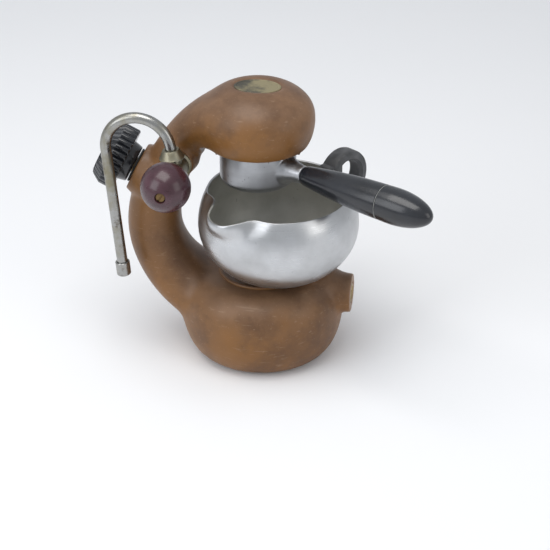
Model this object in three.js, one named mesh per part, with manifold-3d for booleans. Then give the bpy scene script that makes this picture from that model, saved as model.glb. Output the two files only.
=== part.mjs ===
// A stovetop steam-pressure coffee maker in cast aluminium. A round boiler stands on the hob,
// a hollow neck climbs behind it and bends over into a bulb, and the bulb holds a bayonet
// group with its filter holder. A loose jug stands under the group. The neck carries the
// filler with its fluted cap, and a steam valve with a ball knob and a hooked steam pipe.
// Millimetres, +Z up. The origin is the centre of the boiler's underside, +X points away
// from the neck, and -Y is the side that carries the steam valve.

import * as THREE from 'three';
import { LoftGeometry } from 'three/addons/geometries/LoftGeometry.js';
import { mergeVertices } from 'three/addons/utils/BufferGeometryUtils.js';
import Module from 'manifold-3d';

const wasm = await Module();
wasm.setup();

// ---------------------------------------------------------------- driving dimensions

const gap = 0.3;               // left between two pieces that touch
const slack = 0.5;             // left between two pieces that turn or slide on each other
const castWall = 4;            // wall of the casting

// boiler
const footR = 47;              // flat ring that stands on the hob
const bellyR = 65.5;
const bellyZ = 41;
const platformR = 45;          // flat top of the boiler
const platformZ = 68.5;
const pedestalR = 34;          // raised disc that the jug stands on
const pedestalRise = 1.5;
const plateR = 40.7;           // disc pressed into the underside
const plateThick = 3.5;

// round boss at the front, with the safety valve in it
const frontBossR = 15.5;
const frontBossReach = 7;      // how far it stands out past the belly
const reliefR = 8;             // safety valve body
const reliefLength = 14;
const reliefBoreR = 5.5;
const reliefWireR = 0.35;
const reliefCoilR = 3.7;
const reliefTurns = 4;

// neck: how far its spine reaches back, and its round section
const neckReach = 88;
const neckR = 21;

// bulb over the jug, and the brew group under it
const groupX = -3;             // the group's axis, measured from the boiler's
const headR = 44.5;
const headFloorZ = 179.5;      // flat underside of the bulb
const headRise = 46.8;         // height of the bulb over its underside
const headMidShare = 0.485;    // level where the bulb is widest, as a share of its height
const headFloorRim = 4.3;      // flat of the underside, past the cup's wall
const badgeR = 19.3;
const badgeHalfWide = 13.4;    // the recess on top is an oval along X
const badgeDepth = 1.6;
const badgeThick = 0.9;
const screenInset = 5.5;       // edge of the shower screen, inside the cup's outer wall
const screenThick = 0.9;
const gasketThick = 3;
const gasketWide = 5;
const chamberHigh = 4.4;       // water space over the screen
const screenScrewR = 2;
const riserR = 4;              // tube that lifts the water from the boiler to the group
const riserWall = 1;

// filter holder
const cupR = 29.5;
const cupWall = 3.1;
const cupRimStep = 0.5;        // the rim is this much narrower than the wall
const cupDeep = 29.8;
const cupDrop = 1.7;           // cup rim below the bulb's underside
const earReach = 1.9;          // bayonet ears, past the cup's rim
const earThick = 2.6;
const earHalfAngle = 17;
const clawAngle = 10;          // where the first claw stands round the group
const clawWall = 2.2;
const clawShelf = 2.4;
const lockAngle = 45;          // turn that frees the filter holder
const lockDrop = 1;            // how far that turn lowers it
const handleAngle = -28;       // where the handle points when locked
const handleDrop = 15;         // handle's axis below the bulb's underside
const stubReach = 15;          // metal stub, past the cup's wall
const stubR = 6.5;
const stubRootR = 8.6;
const gripLength = 72;
const gripCapLength = 42;
const gripR = 13.7;
const rodR = 3;
const basketWall = 0.6;
const basketDeep = 22;

// filler on the back of the neck
const fillerX = -99;
const fillerZ = 151;
const fillerTilt = 26;         // axis above level, pointing back
const fillerRimR = 19;
const fillerBoreR = 10.3;
const capR = 25.5;
const capLength = 19.5;
const capTaper = 5;
const capFlutes = 28;
const fluteDeep = 1.1;
const collarR = 15;
const collarLength = 7.2;
const fillerSealThick = 1.8;

// steam valve on the near side of the neck
const valveX = -61;
const valveZ = 166;
const valveFaceY = -22;        // face of the cast boss
const valveBossR = 11.5;
const valveR = 9.5;
const valveLength = 22;
const outletTilt = 6;          // outlet's axis off vertical, leaning back
const outletAlong = 12.7;      // outlet's axis from the boss face
const outletCollarTop = 18.5;
const pipeSeatDrop = 5;        // pipe's end, below the top of the collar
const spindleR = 2.3;
const knobR = 18.9;
const knobAlong = 40;          // ball's centre from the boss face
const knobScrewR = 3.7;
const knobShankR = 1.5;

// steam pipe: out of the collar, over in a half circle and down
const pipeR = 4.2;
const pipeWall = 1;
const pipeRise = 19.5;         // straight part over the valve's axis
const pipeBendR = 25.3;
const pipeLegTilt = 4.8;       // leg's lean off vertical
const pipeLegLength = 105.5;
const nozzleR = 5.7;
const nozzleLength = 12;

// jug
const jugX = 14;
const jugY = -5;
const jugR = 62.8;
const jugWall = 1.6;
const jugBellyRise = 44;       // belly's height over the jug's foot
const jugBelowR = 48;          // upright half axis of the jug's curve below the belly
const jugAboveR = 61;          // and above it
const jugRimRise = 72;
const spoutAngle = -124;
const spoutReach = 16;
const spoutDroop = 4.5;
const spoutWidth = 15;         // half angle of the lip
const jugHandleAngle = 55;
const ringR = 22.5;            // outer radius of the handle's ring
const ringThick = 8;
const ringWide = 14.5;
const ringCentre = 73;         // ring's centre from the jug's axis
const ringRise = 58.7;         // ring's centre over the jug's foot
const rivetR = 1.8;

// how many sides stand for a round: a hole has as many as what fits in it
const hexagon = 6;
const fine = 8;
const small = 12;
const medium = 18;
const large = 28;
const broad = 40;
const jugSides = 44;

// ---------------------------------------------------------------- worked-out places

const pedestalZ = platformZ + pedestalRise;
const frontBossX = bellyR + frontBossReach;
const frontBossZ = platformZ - frontBossR;
const headMidZ = headFloorZ + headRise * headMidShare;
const headTopZ = headFloorZ + headRise;
const headFloorR = cupR + headFloorRim;
const screenR = cupR - screenInset;
const gasketInnerR = screenR + slack;
const gasketOuterR = gasketInnerR + gasketWide;
const seatZ = headFloorZ + gasketThick - gap;  // ledge over gasket and screen
const chamberZ = seatZ + chamberHigh;
const cupRimZ = headFloorZ - cupDrop;
const cupRimR = cupR - cupRimStep;
const cupBoreR = cupR - cupWall;
const cupFloorZ = cupRimZ - cupDeep;
const basketR = cupBoreR - slack;
const handleZ = headFloorZ - handleDrop;
const stubEnd = cupR + stubReach;
const jugFootZ = pedestalZ + gap;
const outletR = outletCollarTop - pipeSeatDrop;  // where the pipe's end sits

const rad = THREE.MathUtils.degToRad;
const axisX = new THREE.Vector3(1, 0, 0);
const axisY = new THREE.Vector3(0, 1, 0);
const axisZ = new THREE.Vector3(0, 0, 1);

// ---------------------------------------------------------------- finishes

const finish = (color, roughness, metalness) => () =>
  new THREE.MeshStandardMaterial({ color, roughness, metalness });
const paintedCasting = finish(0x8f6238, 0.55, 0.1);
const bareAluminium = finish(0xb9bbba, 0.38, 0.9);
const polishedAluminium = finish(0xc9ccce, 0.25, 0.95);
const platedBrass = finish(0x9a957e, 0.35, 0.85);
const yellowBrass = finish(0xb08d4a, 0.35, 0.9);
const springSteel = finish(0x8d9094, 0.35, 0.9);
const blackBakelite = finish(0x1d1e20, 0.35, 0);
const maroonBakelite = finish(0x4b1c28, 0.22, 0);
const blackRubber = finish(0x222222, 0.85, 0);
const packingCord = finish(0xd8d4c4, 0.9, 0);
const paleBadge = finish(0xa79a86, 0.5, 0.3);

// ---------------------------------------------------------------- solids

// A closed three.js geometry as a solid that can be joined and cut.
function solid(geometry, matrix = new THREE.Matrix4()) {
  const bare = new THREE.BufferGeometry().copy(geometry).applyMatrix4(matrix);
  bare.deleteAttribute('normal');
  bare.deleteAttribute('uv');
  const merged = mergeVertices(bare, 1e-4);
  const corners = merged.index.array;
  const points = merged.attributes.position;
  const [a, b, c] = [0, 1, 2].map(() => new THREE.Vector3());
  const triangles = [];
  let volume = 0;
  for (let i = 0; i < corners.length; i += 3) {
    const [p, q, r] = corners.slice(i, i + 3);
    if (p === q || q === r || r === p) continue;
    triangles.push(p, q, r);
    a.fromBufferAttribute(points, p);
    b.fromBufferAttribute(points, q);
    c.fromBufferAttribute(points, r);
    volume += a.dot(b.cross(c));
  }
  if (volume < 0) triangles.reverse();
  return new wasm.Manifold(new wasm.Mesh({
    numProp: 3, vertProperties: points.array, triVerts: Uint32Array.from(triangles),
  }));
}

const join = (first, ...others) => others.reduce((whole, next) => whole.add(next), first);
const cut = (first, ...others) => others.reduce((whole, next) => whole.subtract(next), first);

// A named mesh of a solid, inside the group whose frame the solid is drawn in.
function piece(name, body, material, parent) {
  const { vertProperties, triVerts } = body.getMesh();
  const geometry = new THREE.BufferGeometry();
  geometry.setAttribute('position', new THREE.BufferAttribute(vertProperties, 3));
  geometry.setIndex(new THREE.BufferAttribute(triVerts, 1));
  geometry.computeVertexNormals();
  const mesh = new THREE.Mesh(geometry, material());
  mesh.name = name;
  parent.add(mesh);
  return mesh;
}

// A group whose +Z lies along one direction and whose +X leans toward another.
function frame(parent, origin, along, toward) {
  const group = new THREE.Group();
  const z = along.clone().normalize();
  const y = z.clone().cross(toward).normalize();
  const x = y.clone().cross(z);
  group.quaternion.setFromRotationMatrix(new THREE.Matrix4().makeBasis(x, y, z));
  group.position.copy(origin);
  parent.add(group);
  group.updateWorldMatrix(true, false);
  return group;
}

// Points [radius, height] on an ellipse's arc, in degrees from level outwards.
function arc(centreR, centreZ, halfR, halfZ, from, to, steps) {
  return Array.from({ length: steps + 1 }, (_, i) => {
    const angle = rad(from + (to - from) * i / steps);
    return [centreR + halfR * Math.cos(angle), centreZ + halfZ * Math.sin(angle)];
  });
}

// A solid turned round Z from a profile of [radius, height].
function turned(profile, sides, matrix) {
  const points = profile.map(([r, z]) => new THREE.Vector2(Math.max(r, 0), z));
  return solid(new THREE.LatheGeometry(points, sides).rotateX(Math.PI / 2), matrix);
}

// A rod or a cone round Z, and a ring with a hole.
const rod = (r0, z0, r1, z1, sides, matrix) =>
  turned([[0, z0], [r0, z0], [r1, z1], [0, z1]], sides, matrix);
const ring = (inner, outer, z0, z1, sides, matrix) =>
  turned([[inner, z0], [outer, z0], [outer, z1], [inner, z1], [inner, z0]], sides, matrix);

// A round bar, or a pipe, along a curve.
function bar(curve, steps, sides, outer, inner = 0) {
  const shape = new THREE.Shape().absarc(0, 0, outer, 0, 2 * Math.PI);
  if (inner > 0) shape.holes.push(new THREE.Path().absarc(0, 0, inner, 0, 2 * Math.PI));
  return solid(new THREE.ExtrudeGeometry(shape,
    { steps, curveSegments: sides / 2, extrudePath: curve }));
}

// A plate in the shape of a piece of a ring, between two angles in degrees.
function sector(inner, outer, from, to, z0, z1) {
  const shape = new THREE.Shape()
    .absarc(0, 0, outer, rad(from), rad(to), false)
    .absarc(0, 0, inner, rad(to), rad(from), true);
  const plate = new THREE.ExtrudeGeometry(shape,
    { depth: z1 - z0, bevelEnabled: false, curveSegments: 2 });
  return solid(plate.translate(0, 0, z0));
}

// An ellipse of points round a centre, in the plane of two directions.
function ellipse(centre, u, v, a, b, count) {
  return Array.from({ length: count }, (_, i) => {
    const angle = 2 * Math.PI * i / count;
    return centre.clone()
      .addScaledVector(u, a * Math.cos(angle))
      .addScaledVector(v, b * Math.sin(angle));
  });
}

const loft = (sections) =>
  solid(new LoftGeometry(sections, { capStart: true, capEnd: true }));

// ---------------------------------------------------------------- frames

const machine = new THREE.Group();
const outletDirection = new THREE.Vector3(
  -Math.sin(rad(outletTilt)), 0, Math.cos(rad(outletTilt)));
const valve = frame(machine, new THREE.Vector3(valveX, valveFaceY, valveZ),
  axisY.clone().negate(), outletDirection);
const outlet = frame(machine, new THREE.Vector3(valveX, valveFaceY - outletAlong, valveZ),
  outletDirection, axisX);
const filler = frame(machine, new THREE.Vector3(fillerX, 0, fillerZ),
  new THREE.Vector3(-Math.cos(rad(fillerTilt)), 0, Math.sin(rad(fillerTilt))), axisY);
const relief = frame(machine, new THREE.Vector3(frontBossX, 0, frontBossZ), axisX, axisZ);
const group = frame(machine, new THREE.Vector3(groupX, 0, 0), axisZ, axisX);
const holder = frame(group, new THREE.Vector3(), axisZ,
  new THREE.Vector3(Math.cos(rad(handleAngle)), Math.sin(rad(handleAngle)), 0));
const handle = frame(holder, new THREE.Vector3(0, 0, handleZ), axisX, axisZ);
const jug = frame(machine, new THREE.Vector3(jugX, jugY, jugFootZ), axisZ,
  new THREE.Vector3(Math.cos(rad(jugHandleAngle)), Math.sin(rad(jugHandleAngle)), 0));

// ---------------------------------------------------------------- the neck's line

// Stations up the neck: spine point as shares of the neck's reach and of the bulb's middle
// height, then the section's half width in the plane of the neck and across it, as shares
// of the neck's radius.
const neckStations = [
  [-0.14, 0.17, 1.00, 2.10],
  [-0.50, 0.22, 1.10, 1.90],
  [-0.75, 0.285, 1.10, 1.55],
  [-0.91, 0.38, 1.07, 1.28],
  [-0.985, 0.475, 1.04, 1.12],
  [-0.99, 0.56, 1.00, 1.02],
  [-0.95, 0.645, 0.95, 0.95],
  [-0.86, 0.745, 0.87, 0.90],
  [-0.735, 0.85, 0.81, 0.90],
  [-0.59, 0.93, 0.81, 1.05],
  [-0.41, 0.975, 0.95, 1.43],
  [-0.18, 1.00, 1.12, 1.86],
  [0.00, 1.00, 1.10, 1.95],
];
const neckSpine = new THREE.CatmullRomCurve3(neckStations.map(([x, z]) =>
  new THREE.Vector3(x * neckReach, 0, z * headMidZ)), false, 'centripetal');
const neckWidths = new THREE.CatmullRomCurve3(neckStations.map(([, , a, b]) =>
  new THREE.Vector3(a * neckR, b * neckR, 0)), false, 'centripetal');

// Sections of the neck from one share of its line to another, all smaller by one wall.
function neckSections(from, to, count, points, wall) {
  return Array.from({ length: count }, (_, i) => {
    const share = from + (to - from) * i / (count - 1);
    const centre = neckSpine.getPoint(share);
    const tangent = neckSpine.getTangent(share);
    const width = neckWidths.getPoint(share);
    const across = axisY;
    const inPlane = across.clone().cross(tangent).normalize();
    return ellipse(centre, inPlane, across, width.x - wall, width.y - wall, points);
  });
}

// The riser's line: from the boiler's floor up the neck and down into the group.
const riserX = groupX - screenR / 2;
function riserLine() {
  const up = [0.12, 0.24, 0.36, 0.48, 0.6, 0.7, 0.79].map((share) => neckSpine.getPoint(share));
  const drop = new THREE.Vector3(riserX, 0, chamberZ + gap);
  return new THREE.CatmullRomCurve3([
    new THREE.Vector3(-footR * 0.42, 0, plateThick + 5),
    ...up,
    new THREE.Vector3(drop.x - 9, 0, chamberZ + 10),
    new THREE.Vector3(drop.x - 1, 0, chamberZ + 5),
    drop,
  ], false, 'centripetal');
}

// ---------------------------------------------------------------- casting

// The bayonet ears, at one turn and drop of the filter holder, grown by a clearance.
function ears(turn, drop, grow, topZ) {
  return [clawAngle, clawAngle + 180].map((angle) => {
    const spread = earHalfAngle + THREE.MathUtils.radToDeg(grow / cupR);
    return sector(cupRimR - 2 - grow, cupRimR + earReach + grow,
      angle - turn - spread, angle - turn + spread, cupRimZ - earThick - drop - grow, topZ);
  });
}

// Two claws under the bulb, undercut along the path that the ears take.
function claws() {
  const innerR = cupRimR + slack;
  const outerR = cupRimR + earReach + slack + clawWall;
  const bottomZ = cupRimZ - earThick - slack - clawShelf;
  const blanks = [clawAngle, clawAngle + 180].map((angle) =>
    sector(innerR, outerR, angle - earHalfAngle, angle + earHalfAngle, bottomZ, headFloorZ + 1.5));
  const turns = [0, 8, 16, 24, 32];
  const paths = turns.flatMap((turn) =>
    ears(turn, lockDrop * turn / lockAngle, slack, headFloorZ));
  return cut(join(...blanks), ...paths);
}

function boilerBody() {
  const boiler = turned([
    [0, 0],
    ...arc(footR, bellyZ, bellyR - footR, bellyZ, -90, 0, 5),
    ...arc(platformR, bellyZ + 1, bellyR - platformR, platformZ - bellyZ - 1, 0, 90, 4),
    [pedestalR + 0.7, platformZ],
    [pedestalR, pedestalZ],
    [0, pedestalZ],
  ], broad);
  const frontBoss = loft([
    [bellyR * 0.7, 5, 7],
    [bellyR * 0.93, 3.2, 4],
    [frontBossX - 8, 0, 0],
    [frontBossX - 1, 0, 0],
    [frontBossX, -1, -1],
  ].map(([x, deeper, wider]) => ellipse(
    new THREE.Vector3(x, 0, frontBossZ - Math.max(deeper, 0)), axisY, axisZ,
    frontBossR + wider, frontBossR + deeper, 20)));
  const neck = loft(neckSections(0, 1, 18, 20, 0));
  const head = turned([
    [0, headFloorZ],
    ...arc(headFloorR, headMidZ - 1, headR - headFloorR, headMidZ - 1 - headFloorZ, -90, 0, 4),
    ...arc(0, headMidZ, headR, headTopZ - headMidZ + 2.6, 0, 62, 5),
    [badgeR + 0.5, headTopZ],
    [0, headTopZ],
  ], broad, group.matrixWorld);
  const underHead = solid(new THREE.BoxGeometry(120, 140, 70)
    .translate(60 + groupX - headR + 3, 0, headFloorZ - 35));
  const fillerBoss = rod(fillerRimR + 5, -20, fillerRimR, 0, large, filler.matrixWorld);
  const valveBoss = rod(valveBossR + 1, -16, valveBossR, 0, medium, valve.matrixWorld);
  const outside = join(boiler, frontBoss, cut(join(neck, head), underHead), fillerBoss,
    valveBoss, claws().transform([...group.matrixWorld.elements]));

  const openingR = plateR - 3.7;
  const rebateZ = plateThick + gap;
  const lowerZ = rebateZ + castWall - 1;
  const boilerSpace = turned([
    [0, -1],
    [plateR + gap, -1],
    [plateR + gap, rebateZ],
    [openingR, rebateZ],
    [openingR, lowerZ],
    ...arc(footR - 2, bellyZ, bellyR - castWall - footR + 2, bellyZ - lowerZ, -90, 0, 3),
    ...arc(platformR - 1, bellyZ + 1, bellyR - castWall - platformR + 1,
      platformZ - castWall - bellyZ - 1, 0, 90, 3),
    [0, platformZ - castWall],
  ], large);
  const neckSpace = loft(neckSections(0.1, 0.74, 9, 12, castWall + 0.7));
  const groupSpace = turned([
    [0, headFloorZ - 1],
    [gasketOuterR + gap, headFloorZ - 1],
    [gasketOuterR + gap, seatZ + gap],
    [screenR - gap, seatZ + gap],
    [screenR - gap, chamberZ],
    [5, chamberZ],
    [5, seatZ + gap],
    [0, seatZ + gap],
  ], large, group.matrixWorld);
  const screwHole = rod(screenScrewR + gap, seatZ - 1, screenScrewR + gap, seatZ + 10, fine,
    group.matrixWorld);
  const riserHole = bar(riserLine(), 18, fine, riserR + 2 * gap).add(
    rod(riserR + 2 * gap, chamberZ - 1, riserR + 2 * gap, chamberZ + 2, fine,
      new THREE.Matrix4().makeTranslation(riserX, 0, 0)));
  const badgeRecess = rod(badgeR, headTopZ - badgeDepth, badgeR, headTopZ + 5, large,
    group.matrixWorld).scale([1, badgeHalfWide / badgeR, 1]);
  const fillerBore = rod(fillerBoreR, -24, fillerBoreR, 1, medium, filler.matrixWorld);
  const valveBore = rod(6, -18, 6, 1, medium, valve.matrixWorld);
  const reliefBore = join(
    rod(reliefR + gap, -reliefLength - gap, reliefR + gap, 1, medium, relief.matrixWorld),
    rod(4, -reliefLength - 12, 4, 0, fine, relief.matrixWorld));
  return cut(outside, boilerSpace, neckSpace, groupSpace, screwHole, riserHole, badgeRecess,
    fillerBore, valveBore, reliefBore);
}

piece('boiler_body', boilerBody(), paintedCasting, machine);
piece('bottom_plate', rod(plateR - 0.4, 0, plateR, 0.4, large)
  .add(rod(plateR, 0.4, plateR, plateThick, large)), bareAluminium, machine);
piece('water_riser', bar(riserLine(), 18, fine, riserR, riserR - riserWall),
  bareAluminium, machine);
piece('top_badge', turned([
  [0, headTopZ - badgeDepth + gap],
  [badgeR - 1, headTopZ - badgeDepth + gap],
  [badgeR - 1, headTopZ - badgeDepth + gap + badgeThick - 0.3],
  [badgeR - 1.4, headTopZ - badgeDepth + gap + badgeThick],
  [0, headTopZ - badgeDepth + gap + badgeThick],
], large).scale([1, badgeHalfWide / badgeR, 1]), paleBadge, group);

// ---------------------------------------------------------------- brew group

function showerScreen() {
  const disc = ring(screenScrewR + gap, screenR, seatZ - screenThick, seatZ, large);
  const holes = [9, 17].flatMap((r, row) =>
    Array.from({ length: 5 + row * 5 }, (_, i) => {
      const angle = 2 * Math.PI * (i + row / 2) / (5 + row * 5);
      const place = new THREE.Matrix4().makeTranslation(
        r * Math.cos(angle), r * Math.sin(angle), seatZ - screenThick - 1);
      return rod(1.1, 0, 1.1, screenThick + 2, fine, place);
    }));
  return cut(disc, ...holes);
}

const screenFaceZ = seatZ - screenThick - gap;
piece('shower_screen', showerScreen(), bareAluminium, group);
piece('screen_screw', cut(
  join(
    turned([
      [0, screenFaceZ - 1.6], [3, screenFaceZ - 1.6], [4, screenFaceZ - 0.8],
      [4, screenFaceZ], [0, screenFaceZ],
    ], medium),
    rod(screenScrewR, screenFaceZ - 0.5, screenScrewR, seatZ + 8, small)),
  solid(new THREE.BoxGeometry(9, 0.9, 1.6).translate(0, 0, screenFaceZ - 1.6))),
yellowBrass, group);
piece('group_gasket', ring(gasketInnerR, gasketOuterR, seatZ - gasketThick + gap, seatZ, large),
  blackRubber, group);

// ---------------------------------------------------------------- filter holder

function filterBasket() {
  const topZ = cupRimZ + gap + 0.8;
  const floorZ = topZ - basketDeep;
  const outerR = basketR;
  const innerR = basketR - basketWall;
  const shell = turned([
    [0, floorZ],
    [outerR - 2.2, floorZ],
    [outerR, floorZ + 2.4],
    [outerR, topZ - 0.8],
    [cupRimR - 0.6, topZ - 0.8],
    [cupRimR - 0.6, topZ],
    [innerR, topZ],
    [innerR, floorZ + 2.6],
    [innerR - 2, floorZ + basketWall],
    [0, floorZ + basketWall],
  ], large);
  const holes = [0, 11].flatMap((r, row) =>
    Array.from({ length: row ? 6 : 1 }, (_, i) => {
      const angle = 2 * Math.PI * i / 6;
      const place = new THREE.Matrix4().makeTranslation(
        r * Math.cos(angle), r * Math.sin(angle), floorZ - 1);
      return rod(0.9, 0, 0.9, 3, fine, place);
    }));
  return cut(shell, ...holes);
}

function filterCup() {
  const spoutR = 6.5;
  const corner = 6;
  const outside = turned([
    [0, cupFloorZ - 2.6],
    [spoutR - 1, cupFloorZ - 2.6],
    [spoutR, cupFloorZ - 1.6],
    [spoutR + 0.6, cupFloorZ],
    ...arc(cupR - corner, cupFloorZ + corner, corner, corner, -90, 0, 4),
    [cupR, cupRimZ - 10],
    [cupRimR, cupRimZ - earThick],
    [cupRimR, cupRimZ],
    [0, cupRimZ],
  ], broad);
  const stub = rod(stubRootR, cupBoreR - 4, stubRootR, cupR + 2, medium, handle.matrix)
    .add(rod(stubRootR, cupR + 2, stubR, stubEnd, medium, handle.matrix));
  const bore = turned([
    [0, cupFloorZ + 3.4],
    [4, cupFloorZ + 3.6],
    [cupBoreR - 3, cupFloorZ + 4.2],
    [cupBoreR, cupFloorZ + 6.5],
    [cupBoreR, cupRimZ + 1],
    [0, cupRimZ + 1],
  ], large);
  const lockedEars = ears(0, 0, 0, cupRimZ).map((ear) => ear.rotate([0, 0, -handleAngle]));
  const rodHole = rod(rodR + gap, cupR + 2.5, rodR + gap, stubEnd + 1, small, handle.matrix);
  return cut(join(outside, stub, ...lockedEars), bore, rodHole,
    rod(2.6, cupFloorZ - 4, 2.6, cupFloorZ + 6, small));
}

const gripStart = stubEnd + gap;
const gripEnd = gripStart + gripLength;
const capStart = gripEnd + gap;
const rodEnd = capStart + 22;

piece('filter_basket', filterBasket(), bareAluminium, group);
piece('filter_cup', filterCup(), bareAluminium, holder);
piece('handle_rod', rod(rodR, cupR + 3, rodR, rodEnd, small), springSteel, handle);
piece('handle_grip', turned([
  [rodR + gap, gripStart],
  [stubR - 0.6, gripStart],
  [stubR + 0.4, gripStart + 1],
  [gripR * 0.68, gripStart + gripLength * 0.25],
  [gripR * 0.87, gripStart + gripLength * 0.5],
  [gripR * 0.955, gripStart + gripLength * 0.75],
  [gripR - 0.3, gripEnd - 0.5],
  [gripR - 0.8, gripEnd],
  [rodR + gap, gripEnd],
  [rodR + gap, gripStart],
], large), blackBakelite, handle);
piece('handle_grip_cap', turned([
  [rodR + gap, capStart],
  [gripR - 0.8, capStart],
  [gripR - 0.3, capStart + 0.5],
  ...arc(0, capStart + gripCapLength * 0.22, gripR, gripCapLength * 0.78, 0, 90, 7),
  [0, rodEnd + gap],
  [rodR + gap, rodEnd + gap],
  [rodR + gap, capStart],
], large), blackBakelite, handle);

// ---------------------------------------------------------------- filler

function fillerCap() {
  const discZ = fillerSealThick + 2 * gap + collarLength;
  const endZ = discZ + capLength;
  const around = capFlutes * 4;
  const outline = (radius, z, depth) => Array.from({ length: around }, (_, i) => {
    const angle = 2 * Math.PI * i / around;
    const wave = Math.cos(angle * capFlutes);
    return new THREE.Vector3((radius + depth * (wave - 1) / 2) * Math.cos(angle),
      (radius + depth * (wave - 1) / 2) * Math.sin(angle), z);
  });
  const disc = loft([
    outline(capR - 0.8, discZ, fluteDeep),
    outline(capR, discZ + 0.8, 2 * fluteDeep),
    outline(capR, discZ + capLength * 0.6, 2 * fluteDeep),
    outline(capR - capTaper, endZ - 1, fluteDeep),
    outline(capR - capTaper - 2, endZ, 0),
  ]);
  const collar = rod(collarR - 0.5, discZ - collarLength, collarR + 1.2, discZ + 1, large);
  const socket = rod(6 + gap, discZ - collarLength - 1, 6 + gap, discZ + 6, medium);
  return cut(disc.add(collar), socket);
}

const sealTop = gap + fillerSealThick;
piece('filler_seal', ring(fillerBoreR - 0.3, collarR - 0.8, gap, sealTop, large),
  blackRubber, filler);
piece('filler_cap', fillerCap(), blackBakelite, filler);
piece('filler_plug', join(
  rod(fillerBoreR - 1.8, -14, fillerBoreR - 1, -13, medium),
  rod(fillerBoreR - 1, -13, fillerBoreR - 1, sealTop, medium),
  rod(6, sealTop - 1, 6, sealTop + collarLength + 5, medium),
), yellowBrass, filler);

// ---------------------------------------------------------------- steam valve

const packingZ = valveLength - 4.7;
const spindleFrom = 6.4;

function valveBody() {
  const outletSpigot = new THREE.Matrix4().makeBasis(axisY, axisZ, axisX)
    .setPosition(0, 0, outletAlong);
  const outside = join(
    turned([
      [0, -12], [5.7, -12], [5.7, gap], [valveR + 1.5, gap], [valveR + 1.5, 2.2],
      [valveR, 2.8], [valveR, valveLength - 1], [valveR - 1, valveLength], [0, valveLength],
    ], large),
    rod(6.4, 4, 6.4, outletCollarTop - 6, medium, outletSpigot));
  return cut(outside,
    rod(1.8, -13, 1.8, 7, small),
    turned([
      [0, 6], [1.8, 6], [3.6, 8], [3.6, packingZ], [5, packingZ],
      [5, valveLength + 1], [0, valveLength + 1],
    ], medium),
    rod(2.2, 0, 2.2, outletCollarTop, small, outletSpigot));
}

piece('steam_valve_body', valveBody(), platedBrass, valve);
piece('valve_packing', ring(spindleR + gap, 4.7, packingZ + gap, packingZ + 2.2, medium),
  packingCord, valve);
piece('packing_nut', cut(
  join(
    rod(4.7, packingZ + 2.5, 4.7, valveLength + 1, medium),
    turned([
      [0, valveLength + gap], [7.5, valveLength + gap], [7.5, valveLength + 3.6],
      [6.6, valveLength + 4.4], [0, valveLength + 4.4],
    ], hexagon)),
  rod(spindleR + gap, 0, spindleR + gap, valveLength + 6, small)),
platedBrass, valve);
piece('outlet_collar', turned([
  [6.4 + gap, valveR + 1],
  [9.2, valveR + 1],
  [9.6, valveR + 2],
  [6.6, outletCollarTop - 1],
  [6, outletCollarTop],
  [pipeR + gap, outletCollarTop],
  [pipeR + gap, outletR + 2.2],
  [6.4 + gap, outletR + 1.6],
  [6.4 + gap, valveR + 1],
], medium), platedBrass, outlet);

// ---------------------------------------------------------------- knob and spindle

const knobBack = knobAlong - knobR + 6.8;
const knobFront = knobAlong + Math.sqrt(knobR ** 2 - (knobScrewR + 0.3) ** 2);
const screwSeat = knobFront - 3.2;

piece('valve_spindle', join(
  rod(0.9, spindleFrom, spindleR, spindleFrom + 1.8, small),
  rod(spindleR, spindleFrom + 1.8, spindleR, screwSeat - 12, small),
), springSteel, valve);

function ballKnob() {
  const backAngle = THREE.MathUtils.radToDeg(Math.asin((knobBack - knobAlong) / knobR));
  const ball = turned([
    [0, knobBack + 0.6],
    [8, knobBack + 0.6],
    [8.6, knobBack],
    ...arc(0, knobAlong, knobR, knobR, backAngle, 90, 10),
  ], large);
  return cut(ball,
    rod(spindleR + gap, knobBack - 1, spindleR + gap, screwSeat - 1, small),
    rod(knobShankR + gap, screwSeat - 2, knobShankR + gap, screwSeat + 1, fine),
    rod(knobScrewR + gap, screwSeat, knobScrewR + gap, knobAlong + knobR + 1, medium));
}

piece('steam_knob', ballKnob(), maroonBakelite, valve);
piece('knob_screw', cut(
  join(
    turned([
      [0, screwSeat + gap], [knobScrewR, screwSeat + gap],
      [knobScrewR, screwSeat + 2], ...arc(0, screwSeat + 2, knobScrewR, 1.4, 0, 90, 3),
    ], medium),
    rod(knobShankR, screwSeat - 11.7, knobShankR, screwSeat + 1, fine)),
  solid(new THREE.BoxGeometry(10, 1, 2.2).rotateZ(rad(40)).translate(0, 0, screwSeat + 3.4))),
yellowBrass, valve);

// ---------------------------------------------------------------- steam pipe

// The pipe's centre line in the outlet's frame: up its axis, over and down.
function pipeLine(start, legEnd) {
  const sweep = 180 - outletTilt + pipeLegTilt;
  const bend = (angle) => new THREE.Vector3(
    pipeBendR * (Math.cos(rad(angle)) - 1), 0, pipeRise + pipeBendR * Math.sin(rad(angle)));
  const bendStart = bend(0);
  const bendEnd = bend(sweep);
  const legDirection = new THREE.Vector3(-Math.sin(rad(sweep)), 0, Math.cos(rad(sweep)));
  const path = new THREE.CurvePath();
  path.add(new THREE.LineCurve3(new THREE.Vector3(0, 0, start), bendStart));
  const bendPoints = Array.from({ length: 13 }, (_, i) => bend(sweep * i / 12));
  path.add(new THREE.CatmullRomCurve3(bendPoints));
  path.add(new THREE.LineCurve3(bendEnd, bendEnd.clone().addScaledVector(legDirection, legEnd)));
  return { path, bendEnd, legDirection };
}

const pipe = pipeLine(outletR - 0.6, pipeLegLength);
const ferrule = ring(pipeR - 0.5, 6.2, outletR - 0.6, outletR + 1.2, medium);
piece('steam_pipe', cut(
  join(bar(pipe.path, 34, 10, pipeR), ferrule),
  bar(pipeLine(outletR - 2, pipeLegLength + 1).path, 34, 6, pipeR - pipeWall)),
platedBrass, outlet);

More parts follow.
